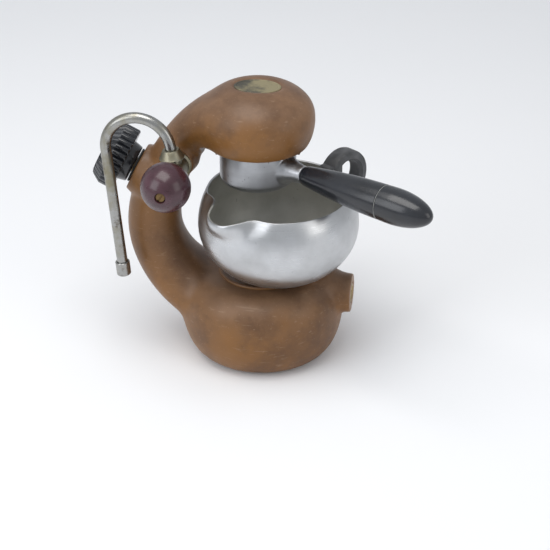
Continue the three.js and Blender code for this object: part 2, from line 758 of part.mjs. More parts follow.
const nozzle = frame(outlet,
  pipe.bendEnd.clone().addScaledVector(pipe.legDirection, pipeLegLength),
  pipe.legDirection, axisX);
piece('steam_nozzle', turned([
  [pipeR + gap, gap - 9],
  [nozzleR - 0.4, gap - 9],
  [nozzleR, gap - 8.4],
  [nozzleR, nozzleLength - 9.4],
  [nozzleR - 0.6, nozzleLength - 9],
  [1.2, nozzleLength - 9],
  [1.2, gap],
  [pipeR + gap, gap],
  [pipeR + gap, gap - 9],
], medium), platedBrass, nozzle);

// ---------------------------------------------------------------- safety valve

// Heights are measured outwards from the boss's end face.
const reliefSeat = -reliefLength + 2.5;
const springFrom = reliefSeat + 3;
const springTo = -4.2;

const springLine = new THREE.CatmullRomCurve3(
  Array.from({ length: reliefTurns * 10 + 1 }, (_, i) => {
    const angle = 2 * Math.PI * i / 10;
    const z = springFrom + reliefWireR + gap
      + (springTo - springFrom - 2 * reliefWireR - 2 * gap) * i / (reliefTurns * 10);
    return new THREE.Vector3(reliefCoilR * Math.cos(angle), reliefCoilR * Math.sin(angle), z);
  }));

piece('relief_body', turned([
  [2.5, -reliefLength],
  [reliefR, -reliefLength],
  [reliefR, -0.5],
  [reliefR - 0.5, 0],
  [reliefBoreR, 0],
  [reliefBoreR, reliefSeat],
  [2.5, reliefSeat],
  [2.5, -reliefLength],
], medium), yellowBrass, relief);
piece('relief_poppet', join(
  rod(reliefBoreR - slack, reliefSeat + gap, reliefBoreR - slack, springFrom, medium),
  rod(1.4, springFrom - 1, 1.4, -2.6, small),
), springSteel, relief);
piece('relief_spring', bar(springLine, reliefTurns * 10, 6, reliefWireR), springSteel, relief);
piece('relief_screw', cut(
  ring(1.4 + slack, reliefBoreR - gap, springTo, -0.6, medium),
  solid(new THREE.BoxGeometry(12, 1.2, 2).translate(0, 0, -0.6))),
yellowBrass, relief);

// ---------------------------------------------------------------- jug

// The jug's outer radius at a height over its foot.
function jugRadius(z) {
  const half = z < jugBellyRise ? jugBelowR : jugAboveR;
  return jugR * Math.sqrt(1 - ((z - jugBellyRise) / half) ** 2);
}

// One level ring of the jug, pulled out into the pouring lip near the rim.
function jugRing(z, inset) {
  const share = THREE.MathUtils.smoothstep(z, jugRimRise - 24, jugRimRise);
  return Array.from({ length: jugSides }, (_, i) => {
    const angle = 2 * Math.PI * i / jugSides;
    const offset = THREE.MathUtils.euclideanModulo(
      THREE.MathUtils.radToDeg(angle) + jugHandleAngle - spoutAngle + 180, 360) - 180;
    const lip = share * Math.exp(-((offset / spoutWidth) ** 2));
    const r = jugRadius(z) - inset + spoutReach * lip;
    return new THREE.Vector3(r * Math.cos(angle), r * Math.sin(angle), z - spoutDroop * lip);
  });
}

function jugBowl() {
  const low = Array.from({ length: 6 }, (_, i) =>
    jugBellyRise * (1 - Math.cos(rad(90 * i / 5))));
  const high = Array.from({ length: 5 }, (_, i) =>
    jugBellyRise + (jugRimRise - jugBellyRise) * (i + 1) / 5);
  const heights = [...low, ...high];
  const outside = loft(heights.map((z) => jugRing(z, 0)));
  const floor = jugWall + 0.4;
  const innerHeights = [floor, ...heights.filter((z) => z > floor + 1)];
  const topRing = jugRing(jugRimRise, jugWall)
    .map((p) => new THREE.Vector3(p.x * 1.01, p.y * 1.01, jugRimRise + 1));
  const inside = loft([...innerHeights.map((z) => jugRing(z, jugWall)), topRing]);
  return cut(outside, inside, ...rivets().map(({ matrix }) =>
    rod(rivetR + gap, -6, rivetR + gap, 6, small, matrix)));
}

// Places of the two rivets: on the jug's wall, along its normal, one above the other.
function rivets() {
  return [-9, 8].map((offset, index) => {
    const z = ringRise + offset;
    const slope = (jugRadius(z + 0.5) - jugRadius(z - 0.5));
    const place = new THREE.Object3D();
    place.position.set(jugRadius(z), 0, z);
    place.quaternion.setFromUnitVectors(axisZ, new THREE.Vector3(1, 0, -slope).normalize());
    place.updateMatrix();
    return { name: `jug_rivet_${index + 1}`, matrix: place.matrix };
  });
}

function jugHandle() {
  const half = ringWide / 2;
  const edge = 2.4;
  const innerR = ringR - ringThick;
  const onEdge = new THREE.Matrix4().makeRotationX(Math.PI / 2)
    .setPosition(ringCentre, 0, ringRise);
  const band = turned([
    [innerR, -half + edge],
    [innerR + edge, -half],
    [ringR - edge, -half],
    [ringR, -half + edge],
    [ringR, half - edge],
    [ringR - edge, half],
    [innerR + edge, half],
    [innerR, half - edge],
    [innerR, -half + edge],
  ], large, onEdge);
  const pad = solid(new THREE.BoxGeometry(16, ringWide - 2, 30)
    .translate(jugRadius(ringRise) - 2, 0, ringRise));
  const fullJug = Array.from({ length: 12 }, (_, i) => {
    const z = jugRimRise * i / 11;
    return [jugRadius(z) + gap, z];
  });
  const insideJug = turned([[0, 0], ...fullJug, [0, jugRimRise]], jugSides);
  const overRim = solid(new THREE.BoxGeometry(2 * ringCentre - 2 * ringR, 60, 60)
    .translate(0, 0, jugRimRise + 28));
  return cut(join(band, pad), insideJug, overRim, ...rivets().map(({ matrix }) =>
    rod(rivetR + gap, -1, rivetR + gap, 5, small, matrix)));
}

piece('jug_bowl', jugBowl(), polishedAluminium, jug);
piece('jug_handle', jugHandle(), blackBakelite, jug);
for (const { name, matrix } of rivets()) {
  const inner = -jugWall - gap;
  piece(name, turned([
    [0, inner - 1.4], [2.4, inner - 1.2], [3.6, inner - 0.3], [3.6, inner],
    [rivetR, inner], [rivetR, 4], [0, 4],
  ], medium, matrix), bareAluminium, jug);
}

export default machine;
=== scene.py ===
# %% [markdown]
# # A cast-aluminium stovetop coffee maker
#
# This file builds the looks of a small stovetop espresso machine. A round boiler stands on
# the hob, a hollow neck climbs from it and bends over into a bulb, and a filter holder hangs
# from the bulb over a loose jug. Each step says what the piece is on the real machine and
# why it is made the way it is. Everything is in metres, Z is up, and the machine's frame is
# already fixed by the engineering model, so a piece is built at its real size in its place.

import math

import bpy
from mathutils import Matrix, Vector


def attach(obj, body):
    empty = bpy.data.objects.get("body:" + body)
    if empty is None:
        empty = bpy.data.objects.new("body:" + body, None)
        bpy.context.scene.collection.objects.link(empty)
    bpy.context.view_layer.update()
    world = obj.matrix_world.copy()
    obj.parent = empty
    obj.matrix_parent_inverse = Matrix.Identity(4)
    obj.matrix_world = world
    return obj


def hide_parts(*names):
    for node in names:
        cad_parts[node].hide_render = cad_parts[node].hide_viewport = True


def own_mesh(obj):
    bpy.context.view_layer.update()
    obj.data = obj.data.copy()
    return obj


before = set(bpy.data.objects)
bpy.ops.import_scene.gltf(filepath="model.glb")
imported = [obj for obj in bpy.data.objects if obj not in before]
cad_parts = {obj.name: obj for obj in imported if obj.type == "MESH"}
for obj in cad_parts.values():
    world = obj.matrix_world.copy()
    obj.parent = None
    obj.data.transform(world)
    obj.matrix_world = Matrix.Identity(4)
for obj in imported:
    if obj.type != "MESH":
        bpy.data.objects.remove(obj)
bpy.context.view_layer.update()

# %% [markdown]
# ## Floor, light and camera
#
# The machine stands on a plain pale floor that curves up into a backdrop, so no horizon line
# crosses the picture. The light is soft, as from large diffusers, because bare aluminium and
# moulded knobs show what is around them: a small lamp would leave hard white dots, a wide
# panel leaves the long quiet highlights that tell the eye how the surface curves.

# %% A floor that runs up into a backdrop
mm = 0.001

bpy.ops.object.select_all(action="DESELECT")
bpy.ops.mesh.primitive_plane_add(size=12, location=(0, -1.8, 0))
floor = bpy.context.object
floor.name = "floor"
bpy.ops.object.mode_set(mode="EDIT")
bpy.ops.mesh.select_all(action="DESELECT")
bpy.ops.object.mode_set(mode="OBJECT")
for edge in floor.data.edges:
    edge.select = all(floor.data.vertices[v].co.y > 4.1 for v in edge.vertices)
bpy.ops.object.mode_set(mode="EDIT")
bpy.ops.mesh.select_mode(type="EDGE")
bpy.ops.mesh.extrude_region_move(TRANSFORM_OT_translate={"value": (0, 1.0, 0.35)})
bpy.ops.mesh.extrude_region_move(TRANSFORM_OT_translate={"value": (0, 0.3, 3.0)})
bpy.ops.object.mode_set(mode="OBJECT")
bpy.ops.object.shade_smooth()
print("floor faces:", len(floor.data.polygons))

# %% A soft sky and three wide panels
world = bpy.data.worlds.new("soft white room")
bpy.context.scene.world = world
world.use_nodes = True
world.node_tree.nodes["Background"].inputs["Color"].default_value = (0.93, 0.96, 1.0, 1)
world.node_tree.nodes["Background"].inputs["Strength"].default_value = 0.62


def panel(name, place, aim, width, height, watts, color):
    """A rectangular soft light that faces a point."""
    bpy.ops.object.light_add(type="AREA", location=place)
    light = bpy.context.object
    light.name = name
    light.rotation_euler = (Vector(place) - Vector(aim)).to_track_quat("Z", "Y").to_euler()
    light.data.shape = "RECTANGLE"
    light.data.size = width
    light.data.size_y = height
    light.data.energy = watts
    light.data.color = color
    return light


middle = (0, 0, 0.12)
panel("top panel", (-0.15, -0.25, 1.15), middle, 0.9, 0.7, 6.4, (1.0, 0.98, 0.95))
panel("window panel", (-0.9, -0.9, 0.75), middle, 0.8, 0.9, 5.2, (0.95, 0.97, 1.0))
panel("right panel", (1.1, -0.5, 0.55), middle, 0.6, 0.8, 2, (1.0, 0.97, 0.93))

# %% The camera, above and a little to the right of the machine
azimuth, elevation, distance = math.radians(10), math.radians(30), 1.262
aim = Vector((0.010, 0.0018, 0.062))
back = Vector((math.sin(azimuth) * math.cos(elevation),
               -math.cos(azimuth) * math.cos(elevation), math.sin(elevation)))
bpy.ops.object.camera_add(location=aim + distance * back,
                          rotation=back.to_track_quat("Z", "Y").to_euler())
camera = bpy.context.object
camera.data.lens = 103.1
camera.data.sensor_width = 36
bpy.context.scene.camera = camera
bpy.context.scene.view_settings.view_transform = "Standard"
print("camera at", [round(v, 3) for v in camera.location])

# %% [markdown]
# ## Tools of the trade
#
# Most of this machine was made on a lathe or from a turned pattern, so the work-horse is a
# profile that is drawn point by point and spun round an axis. The profile starts as one
# vertex, each `extrude` adds the next point, and `spin` sweeps it round. Doubles on the axis
# are merged and the normals are made to point outwards before anything else is done to it.


# %% Draw a profile and spin it
def clear_selection():
    bpy.ops.object.select_all(action="DESELECT")


def edit(piece, mode="VERT"):
    """Opens a piece in edit mode with everything selected."""
    clear_selection()
    bpy.context.view_layer.objects.active = piece
    piece.select_set(True)
    bpy.ops.object.mode_set(mode="EDIT")
    bpy.ops.mesh.select_mode(type=mode)
    bpy.ops.mesh.select_all(action="SELECT")


def tidy_mesh():
    """Merges doubles and turns the faces outwards, then leaves edit mode."""
    bpy.ops.mesh.select_all(action="SELECT")
    bpy.ops.mesh.remove_doubles(threshold=0.00001)
    bpy.ops.mesh.normals_make_consistent(inside=False)
    bpy.ops.object.mode_set(mode="OBJECT")


def turned(name, profile, sides=96, sweep=360, start=0):
    """A piece spun round Z from points of (radius, height) in millimetres."""
    clear_selection()
    (first_r, first_z), *rest = profile
    bpy.ops.mesh.primitive_plane_add(size=0.001, location=(first_r * mm, 0, first_z * mm))
    piece = bpy.context.object
    piece.name = name
    bpy.ops.object.transform_apply(location=True, rotation=True, scale=True)
    edit(piece)
    bpy.ops.mesh.merge(type="CENTER")
    r, z = first_r, first_z
    for next_r, next_z in rest:
        bpy.ops.mesh.extrude_region_move(
            TRANSFORM_OT_translate={"value": ((next_r - r) * mm, 0, (next_z - z) * mm)})
        r, z = next_r, next_z
    bpy.ops.mesh.select_all(action="SELECT")
    if start:
        bpy.ops.transform.rotate(value=-math.radians(start), orient_axis="Z",
                                 center_override=(0, 0, 0))
    bpy.ops.mesh.spin(steps=sides, angle=math.radians(sweep), center=(0, 0, 0), axis=(0, 0, -1))
    tidy_mesh()
    return piece


def close_ends():
    """Puts a lid on every open rim of the piece that is in edit mode."""
    bpy.ops.mesh.select_all(action="SELECT")
    bpy.ops.mesh.fill_holes(sides=0)


def part_turn(name, profile, sides, sweep, facing):
    """A closed piece that is spun only part of the way round, centred on one direction."""
    piece = turned(name, profile, sides=sides, sweep=sweep, start=facing - sweep / 2)
    edit(piece, "EDGE")
    close_ends()
    tidy_mesh()
    return piece


def bow(centre_r, centre_z, half_r, half_z, start, end, steps):
    """Points of (radius, height) along an ellipse, in degrees from level outwards."""
    angles = [math.radians(start + (end - start) * i / steps) for i in range(steps + 1)]
    return [(centre_r + half_r * math.cos(a), centre_z + half_z * math.sin(a)) for a in angles]


def place(piece, origin, along=(0, 0, 1), toward=None):
    """Stands a piece drawn on Z at a point, along a direction, and bakes that into its mesh."""
    z = Vector(along).normalized()
    toward = toward or ((0, 0, 1) if abs(z.x) > 0.95 else (1, 0, 0))
    y = z.cross(Vector(toward)).normalized()
    x = y.cross(z)
    turn = Matrix((x, y, z)).transposed().to_4x4()
    piece.matrix_world = Matrix.Translation(Vector(origin) * mm) @ turn
    clear_selection()
    bpy.context.view_layer.objects.active = piece
    piece.select_set(True)
    bpy.ops.object.transform_apply(location=True, rotation=True, scale=True)
    return piece


print("a profile and a spin are ready")


# %% [markdown]
# Cutting and joining is done with Boolean modifiers that are applied at once, and crisp
# edges are broken with a small Bevel, because a perfectly sharp edge catches no light.

# %% Cut, join, break edges
def apply_modifier(piece, kind, **settings):
    """Adds a modifier, sets it and applies it."""
    clear_selection()
    bpy.context.view_layer.objects.active = piece
    piece.select_set(True)
    bpy.ops.object.modifier_add(type=kind)
    modifier = piece.modifiers[-1]
    for key, value in settings.items():
        setattr(modifier, key, value)
    bpy.ops.object.modifier_apply(modifier=modifier.name)


def carve(piece, *tools, operation="DIFFERENCE"):
    """Cuts the tools out of a piece, or joins them to it, and throws the tools away."""
    for tool in tools:
        apply_modifier(piece, "BOOLEAN", operation=operation, object=tool, solver="EXACT")
        bpy.data.objects.remove(tool)


def soften(piece, width, segments=2, angle=35):
    """Rounds every edge that is sharper than an angle."""
    apply_modifier(piece, "BEVEL", width=width * mm, segments=segments, limit_method="ANGLE",
                   angle_limit=math.radians(angle))


def block(size, centre, turn=0):
    """A box to cut with, in millimetres."""
    clear_selection()
    bpy.ops.mesh.primitive_cube_add(size=1, location=[c * mm for c in centre],
                                    rotation=(0, 0, math.radians(turn)))
    tool = bpy.context.object
    tool.scale = [s * mm for s in size]
    bpy.ops.object.transform_apply(location=True, rotation=True, scale=True)
    return tool


def merge_objects(first, *others):
    """Makes several objects one, without joining their surfaces."""
    clear_selection()
    for piece in others:
        piece.select_set(True)
    first.select_set(True)
    bpy.context.view_layer.objects.active = first
    bpy.ops.object.join()
    return first


def fuse(piece, voxel, relax):
    """Melts overlapping shapes into one skin, as molten metal would, and relaxes it."""
    apply_modifier(piece, "REMESH", mode="VOXEL", voxel_size=voxel * mm)
    apply_modifier(piece, "SMOOTH", factor=0.5, iterations=relax)


def show(piece, body, slot, material, *nodes, angle=35):
    """Gives a finished piece its finish and its body, and hides the nodes that it stands for."""
    clear_selection()
    bpy.context.view_layer.objects.active = piece
    piece.select_set(True)
    bpy.ops.object.shade_smooth_by_angle(angle=math.radians(angle))
    piece.data.materials.clear()
    piece.data.materials.append(material)
    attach(piece, body)
    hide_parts(*nodes)
    print(f"{piece.name}: {len(piece.data.polygons)} faces on {body}")


print("cutting tools are ready")

# %% [markdown]
# ## Finishes
#
# No surface here is one colour. Each finish is a small tree of nodes on Object coordinates,
# in metres, so a noise scale of 100 means spots about a centimetre across. A helper adds a
# node and links its inputs in one line, which keeps the trees readable.


# %% A short way to write node trees
class Finish:
    """A material whose nodes are added one by one."""

    def __init__(self, name, color, roughness, metallic=0.0):
        self.material = bpy.data.materials.new(name)
        self.material.use_nodes = True
        self.material.diffuse_color = (*color, 1)
        self.shader = self.material.node_tree.nodes["Principled BSDF"]
        self.shader.inputs["Base Color"].default_value = (*color, 1)
        self.shader.inputs["Roughness"].default_value = roughness
        self.shader.inputs["Metallic"].default_value = metallic
        self.coords = self.node("ShaderNodeTexCoord").outputs["Object"]

    def node(self, kind, settings=None, **inputs):
        """Adds a node, sets its options and links or sets its inputs."""
        new = self.material.node_tree.nodes.new(kind)
        for key, value in (settings or {}).items():
            setattr(new, key, value)
        for key, value in inputs.items():
            self.feed(new.inputs[key.replace("_", " ")], value)
        return new

    def feed(self, socket, value):
        if isinstance(value, bpy.types.NodeSocket):
            self.material.node_tree.links.new(value, socket)
        else:
            socket.default_value = value

    def noise(self, scale, detail=4.0, roughness=0.55, stretch=None, distortion=0.0):
        """Soft random spots. A stretch makes them long in one direction."""
        vector = self.coords
        if stretch:
            vector = self.node("ShaderNodeMapping", Vector=vector, Scale=stretch).outputs[0]
        return self.node("ShaderNodeTexNoise", Vector=vector, Scale=scale, Detail=detail,
                         Roughness=roughness, Distortion=distortion).outputs["Fac"]

    def between(self, value, low, high, to_low=0.0, to_high=1.0):
        """Stretches the part of a value between low and high over a new range."""
        return self.node("ShaderNodeMapRange", Value=value, From_Min=low, From_Max=high,
                         To_Min=to_low, To_Max=to_high).outputs["Result"]

    def mix(self, amount, first, second, blend="MIX"):
        """Mixes two colours by an amount."""
        node = self.node("ShaderNodeMix", {"data_type": "RGBA", "blend_type": blend})
        self.feed(node.inputs[0], amount)
        for socket, value in ((node.inputs[6], first), (node.inputs[7], second)):
            self.feed(socket, value if isinstance(value, bpy.types.NodeSocket) else (*value, 1))
        return node.outputs[2]

    def math(self, operation, first, second=0.5):
        node = self.node("ShaderNodeMath", {"operation": operation})
        self.feed(node.inputs[0], first)
        self.feed(node.inputs[1], second)
        return node.outputs[0]

    def bump(self, height, strength, depth):
        """Raises the surface by a height between 0 and 1, at most by a depth in metres."""
        previous = self.shader.inputs["Normal"].links
        node = self.node("ShaderNodeBump", Height=height, Strength=strength, Distance=depth)
        if previous:
            self.feed(node.inputs["Normal"], previous[0].from_socket)
        self.feed(self.shader.inputs["Normal"], node.outputs["Normal"])

    def color(self, value):
        self.feed(self.shader.inputs["Base Color"], value)

    def roughness(self, value):
        self.feed(self.shader.inputs["Roughness"], value)


print("node helper is ready")

# %% [markdown]
# ### Brown paint on a sand casting
#
# The casting wears a satin tan-brown paint. Light and shade are painted into its colour: it is
# greyer where it faces up to the light, a painted sheen, and warmer underneath, painted shade.
# It also has darker stains, fine pale specks and scratches, and a faint sand-cast unevenness
# under the paint. The up-facing share comes from the surface normal's Z, broken up with noise
# so it doesn't look like a gradient.

# %% Casting paint
paint = Finish("brown casting paint", (0.33, 0.17, 0.075), 0.42)
normal = paint.node("ShaderNodeNewGeometry").outputs["Normal"]
facing_up = paint.node("ShaderNodeSeparateXYZ", Vector=normal).outputs["Z"]
patches = paint.noise(26, detail=5)
# Painted light and shade: the colour follows the facing. It is greyer where the surface faces up to
# the light and warmer underneath, where the shade falls.
upward = paint.math("ADD", facing_up, paint.between(patches, 0.3, 0.7, -0.25, 0.25))
shaded_underside_tone = paint.mix(paint.between(paint.noise(14, detail=3), 0.35, 0.7),
                 (0.230, 0.102, 0.024), (0.160, 0.068, 0.017))
lit_top_tone = paint.mix(paint.between(paint.noise(34), 0.35, 0.7),
                  (0.205, 0.113, 0.060), (0.136, 0.072, 0.038))
tone = paint.mix(paint.between(upward, -0.15, 0.85), shaded_underside_tone, lit_top_tone)
stains = paint.between(paint.noise(16, detail=9, roughness=0.74), 0.48, 0.64, 0, 0.62)
tone = paint.mix(stains, tone, (0.080, 0.038, 0.018))
specks = paint.between(paint.noise(700, detail=2), 0.68, 0.73, 0, 0.38)
tone = paint.mix(specks, tone, (0.36, 0.24, 0.15))
scratches = paint.between(paint.noise(60, detail=4, stretch=(1, 4, 9)), 0.63, 0.70, 0, 0.35)
paint.color(paint.mix(scratches, tone, (0.32, 0.21, 0.13)))
paint.roughness(paint.between(patches, 0.3, 0.7, 0.34, 0.50))
paint.shader.inputs["Specular IOR Level"].default_value = 0.38
paint.shader.inputs["Coat Weight"].default_value = 0.05
paint.shader.inputs["Coat Roughness"].default_value = 0.3
paint.bump(paint.noise(420, detail=3), 0.10, 0.0004)
paint.bump(paint.noise(60, detail=2), 0.12, 0.0012)
print("casting paint:", len(paint.material.node_tree.nodes), "nodes")


# %% [markdown]
# ### Bare metals
#
# The filter cup and the jug are bare aluminium: the cup was cast and machined, so it is
# satin with small dark pits, and the jug was spun and polished, so very fine rings run round
# it. Stretching a noise along Z squeezes it into such rings. Both have soft grey blotches
# where hands and steam have dulled them.

# %% Aluminium, satin and polished
def aluminium(name, color, dull, rough, ring_scale, pits):
    metal = Finish(name, color, rough[0], 1.0)
    cloud = metal.noise(30, detail=5)
    tone = metal.mix(metal.between(cloud, 0.35, 0.7), color, dull)
    spots = metal.between(metal.noise(330, detail=2), 0.70, 0.75, 0, pits)
    metal.color(metal.mix(spots, tone, (0.05, 0.05, 0.052)))
    rings = metal.noise(1.0, detail=3, stretch=(12, 12, ring_scale))
    worn = metal.between(cloud, 0.3, 0.7, rough[0], rough[1])
    metal.roughness(metal.math("ADD", worn, metal.between(rings, 0.3, 0.7, -0.05, 0.05)))
    metal.bump(rings, 0.05, 0.0002)
    metal.bump(spots, -0.5, 0.0003)
    return metal


satin = aluminium("satin cast aluminium", (0.46, 0.47, 0.49), (0.33, 0.335, 0.35),
                  (0.30, 0.44), 900, 0.9)
polished = aluminium("polished spun aluminium", (0.58, 0.59, 0.605), (0.43, 0.435, 0.44),
                     (0.27, 0.40), 1100, 0.15)
oxide = aluminium("steamed aluminium", (0.55, 0.545, 0.505), (0.40, 0.395, 0.36),
                  (0.42, 0.54), 1500, 0.3)
oxide.shader.inputs["Metallic"].default_value = 0.5
print("aluminium:", satin.material.name, "and", polished.material.name)

# %% [markdown]
# The steam pipe and its fittings are brass under worn nickel. The plating is grey where it
# has lasted and turns olive and yellow where it has rubbed through, with brown blotches from
# dried milk. The same tree with another balance makes the bare brass of the screws.


# %% Worn nickel over brass, bare brass and steel
def plated(name, nickel, rubbed, wear, rough, stain=0.8):
    metal = Finish(name, nickel, rough, 1.0)
    wear_map = metal.between(metal.noise(38, detail=6, roughness=0.65), wear[0], wear[1])
    tone = metal.mix(wear_map, nickel, rubbed)
    blotch = metal.between(metal.noise(120, detail=5, roughness=0.7), 0.58, 0.72, 0, stain)
    metal.color(metal.mix(blotch, tone, (0.10, 0.075, 0.045)))
    metal.roughness(metal.between(wear_map, 0, 1, rough, rough + 0.15))
    metal.bump(metal.noise(500, detail=2), 0.06, 0.0002)
    return metal


nickel = plated("worn nickel on brass", (0.36, 0.36, 0.35), (0.27, 0.25, 0.185), (0.46, 0.66), 0.25)
olive = plated("olive worn plating", (0.30, 0.285, 0.22), (0.23, 0.20, 0.125), (0.35, 0.6), 0.36)
brass = plated("tarnished brass", (0.36, 0.26, 0.12), (0.22, 0.155, 0.08), (0.45, 0.65), 0.32, 0.7)
dark_brass = plated("brown brass", (0.20, 0.13, 0.06), (0.10, 0.065, 0.035), (0.4, 0.6), 0.45, 0.8)
steel = plated("drawn steel", (0.48, 0.49, 0.50), (0.40, 0.40, 0.41), (0.4, 0.7), 0.25, 0.3)
print("metals:", [m.material.name for m in (nickel, olive, brass, steel)])

# %% [markdown]
# ### Moulded parts
#
# Knob, grips and cap are early thermoset plastic. The black ones have a satin skin that has
# worn a little, with a lighter blue-grey in a random cloud that is partly bloom and partly a
# painted sheen. The knob is a glossy dark maroon with a faint marbling whose lighter mauve is
# also partly a painted sheen. A thin clear coat gives them their soft double highlight.


# %% Black and maroon mouldings, rubber and cord
def moulding(name, dark, bloom_and_sheen, rough, marble, coat):
    plastic = Finish(name, dark, rough[0])
    cloud = plastic.noise(marble, detail=5, distortion=0.6)
    # The second colour is laid on in a random cloud. On the black and maroon mouldings it is partly
    # a painted sheen.
    plastic.color(plastic.mix(plastic.between(cloud, 0.35, 0.75), dark, bloom_and_sheen))
    scuffs = plastic.noise(110, detail=3, stretch=(1, 3, 2))
    plastic.roughness(plastic.between(scuffs, 0.3, 0.75, rough[0], rough[1]))
    plastic.shader.inputs["Coat Weight"].default_value = coat
    plastic.shader.inputs["Coat Roughness"].default_value = 0.12
    plastic.bump(scuffs, 0.02, 0.0002)
    return plastic


# The blue-grey second colour is partly bloom and partly a painted sheen.
black = moulding("black moulding", (0.007, 0.008, 0.011), (0.022, 0.025, 0.032),
                 (0.20, 0.29), 30, 0.3)
matte_black = moulding("dull black moulding", (0.028, 0.029, 0.031), (0.098, 0.100, 0.105),
                       (0.42, 0.60), 60, 0.0)
# A pale colour for the fine line at the grip's seam.
pale_seam_line = moulding("pale seam", (0.30, 0.30, 0.29), (0.42, 0.42, 0.40), (0.6, 0.8), 300, 0.0)
# The lighter mauve second colour is partly bloom and partly a painted sheen.
maroon = moulding("maroon moulding", (0.036, 0.009, 0.015), (0.076, 0.027, 0.040),
                  (0.24, 0.36), 70, 0.25)
rubber = moulding("black rubber", (0.018, 0.018, 0.018), (0.045, 0.044, 0.042),
                  (0.7, 0.85), 80, 0.0)
cord = moulding("waxed packing cord", (0.50, 0.46, 0.36), (0.62, 0.58, 0.48),
                (0.8, 0.9), 400, 0.0)
plate = plated("worn blank plate", (0.070, 0.066, 0.050), (0.27, 0.235, 0.14),
               (0.46, 0.60), 0.52, 0.4)
plate.shader.inputs["Metallic"].default_value = 0.3
print("mouldings:", [m.material.name for m in (black, matte_black, maroon, rubber)])

# %% [markdown]
# ## The casting
#
# Boiler, neck and bulb are one sand casting, and its charm is that everything flows into
# everything else. So the shapes are built as separate, overlapping solids, the boiler and
# bulb spun, the neck bridged through rings, the bosses as cones, and then a voxel remesh
# melts them into one skin which is relaxed until the joints become the smooth fillets that
# a pattern maker would rub in with wax. The machined faces are cut afterwards.

# %% Boiler and bulb
group_x = -3
head_floor, head_middle, head_top = 179.5, 202.2, 226.3

boiler = turned("casting", [
    (0, 0), *bow(47, 41, 18.5, 41, -90, 0, 18), *bow(45, 42, 20.5, 26.5, 0, 90, 14),
    (0, 68.5)], sides=128)
bulb = place(turned("bulb", [
    (0, 150), (26, 158), *bow(33.8, 201.2, 10.7, 25, -70, 0, 12),
    *bow(0, head_middle, 44.5, 26.7, 0, 64, 12)[1:], (12, head_top), (0, head_top)],
    sides=128), (group_x, 0, 0))
print("boiler and bulb:", len(boiler.data.polygons), len(bulb.data.polygons))

# %% [markdown]
# The neck is not round all the way. At its root it spreads sideways over the boiler, half
# way up it is a plain round pipe, and at the top it widens again into the bulb. Each ring
# below says where its centre is and how wide it is in the neck's own plane and across it.
# Bridging the rings and subdividing gives a skin that has no flats.

# %% Neck
neck_rings = [
    ((-12, 34), 21, 44), ((-44, 44.5), 23, 40), ((-66, 57.6), 23, 32.5), ((-80, 76.8), 22.5, 27),
    ((-86.7, 96), 21.8, 23.5), ((-87.1, 113.2), 21, 21.4), ((-83.6, 130.4), 20, 20),
    ((-75.7, 150.6), 18.3, 18.9), ((-64.7, 171.9), 17, 18.9), ((-51.9, 188), 17, 22),
    ((-36, 197.1), 20, 30), ((-16, 202.2), 23.5, 39), ((2, 202.2), 23, 40)]

swell = 1.035                  # subdividing pulls the skin in a little


def neck_ring(index):
    """One ring, square to the line through its neighbours."""
    (x, z), in_plane, across = neck_rings[index]
    before = neck_rings[max(index - 1, 0)][0]
    after = neck_rings[min(index + 1, len(neck_rings) - 1)][0]
    direction = Vector((after[0] - before[0], 0, after[1] - before[1]))
    tilt = math.atan2(direction.x, direction.z)
    bpy.ops.mesh.primitive_circle_add(vertices=40, radius=1, location=(x * mm, 0, z * mm),
                                      rotation=(0, tilt, 0))
    ring = bpy.context.object
    ring.scale = (in_plane * swell * mm, across * swell * mm, 1)
    return ring


neck = merge_objects(*[neck_ring(i) for i in range(len(neck_rings))])
neck.name = "neck"
edit(neck, "EDGE")
bpy.ops.mesh.bridge_edge_loops()
close_ends()
tidy_mesh()
apply_modifier(neck, "SUBSURF", levels=2, render_levels=2)
print("neck faces:", len(neck.data.polygons))

# %% [markdown]
# Three bosses stand on the casting: one at the front for the safety valve, one high on the
# back for the filler, and a small one on the near side for the steam valve. They are cones
# that start deep inside, so that the remesh has something to blend them with. They are
# melted on in a second, gentler pass, since the long relaxing that blends the neck into the
# boiler would rub them away.

# %% Bosses
filler_tilt = math.radians(26)
filler_along = (-math.cos(filler_tilt), 0, math.sin(filler_tilt))
filler_at = (-99, 0, 151)
valve_at = (-61, -22, 166)
front_at = (72.5, 0, 53)

front_boss = place(turned("front boss", [
    (0, -40), (25, -40), (21, -20), (16.5, -9), (15.7, -5), (15.5, 1.5), (0, 1.5)]),
    front_at, (1, 0, 0))
filler_boss = place(turned("filler boss", [(0, -24), (26, -24), (19, 1.5), (0, 1.5)]),
                    filler_at, filler_along)
valve_boss = place(turned("valve boss", [(0, -18), (14.5, -18), (11.5, 1.5), (0, 1.5)]),
                   valve_at, (0, -1, 0))
casting = merge_objects(boiler, bulb, neck)
fuse(casting, 1.8, 70)
casting = merge_objects(casting, front_boss, filler_boss, valve_boss)
fuse(casting, 1.5, 9)
print("melted skin:", len(casting.data.polygons), "faces")

# %% [markdown]
# Now the machined faces. The bulb's underside is faced flat and the corner behind it stays
# fairly sharp. Each boss is faced, the recess for the plate on top is milled, and the
# underside takes a thin pressed disc. The two bayonet claws and the raised disc on which the
# jug stands are joined on. A finer remesh and a very short relaxing give every edge the
# small radius that paint and handling leave.


# %% Machined faces
def drill(radius, start, end, origin, along):
    """A round tool from one depth to another along a direction."""
    return place(turned("drill", [(0, start), (radius, start), (radius, end), (0, end)]),
                 origin, along)


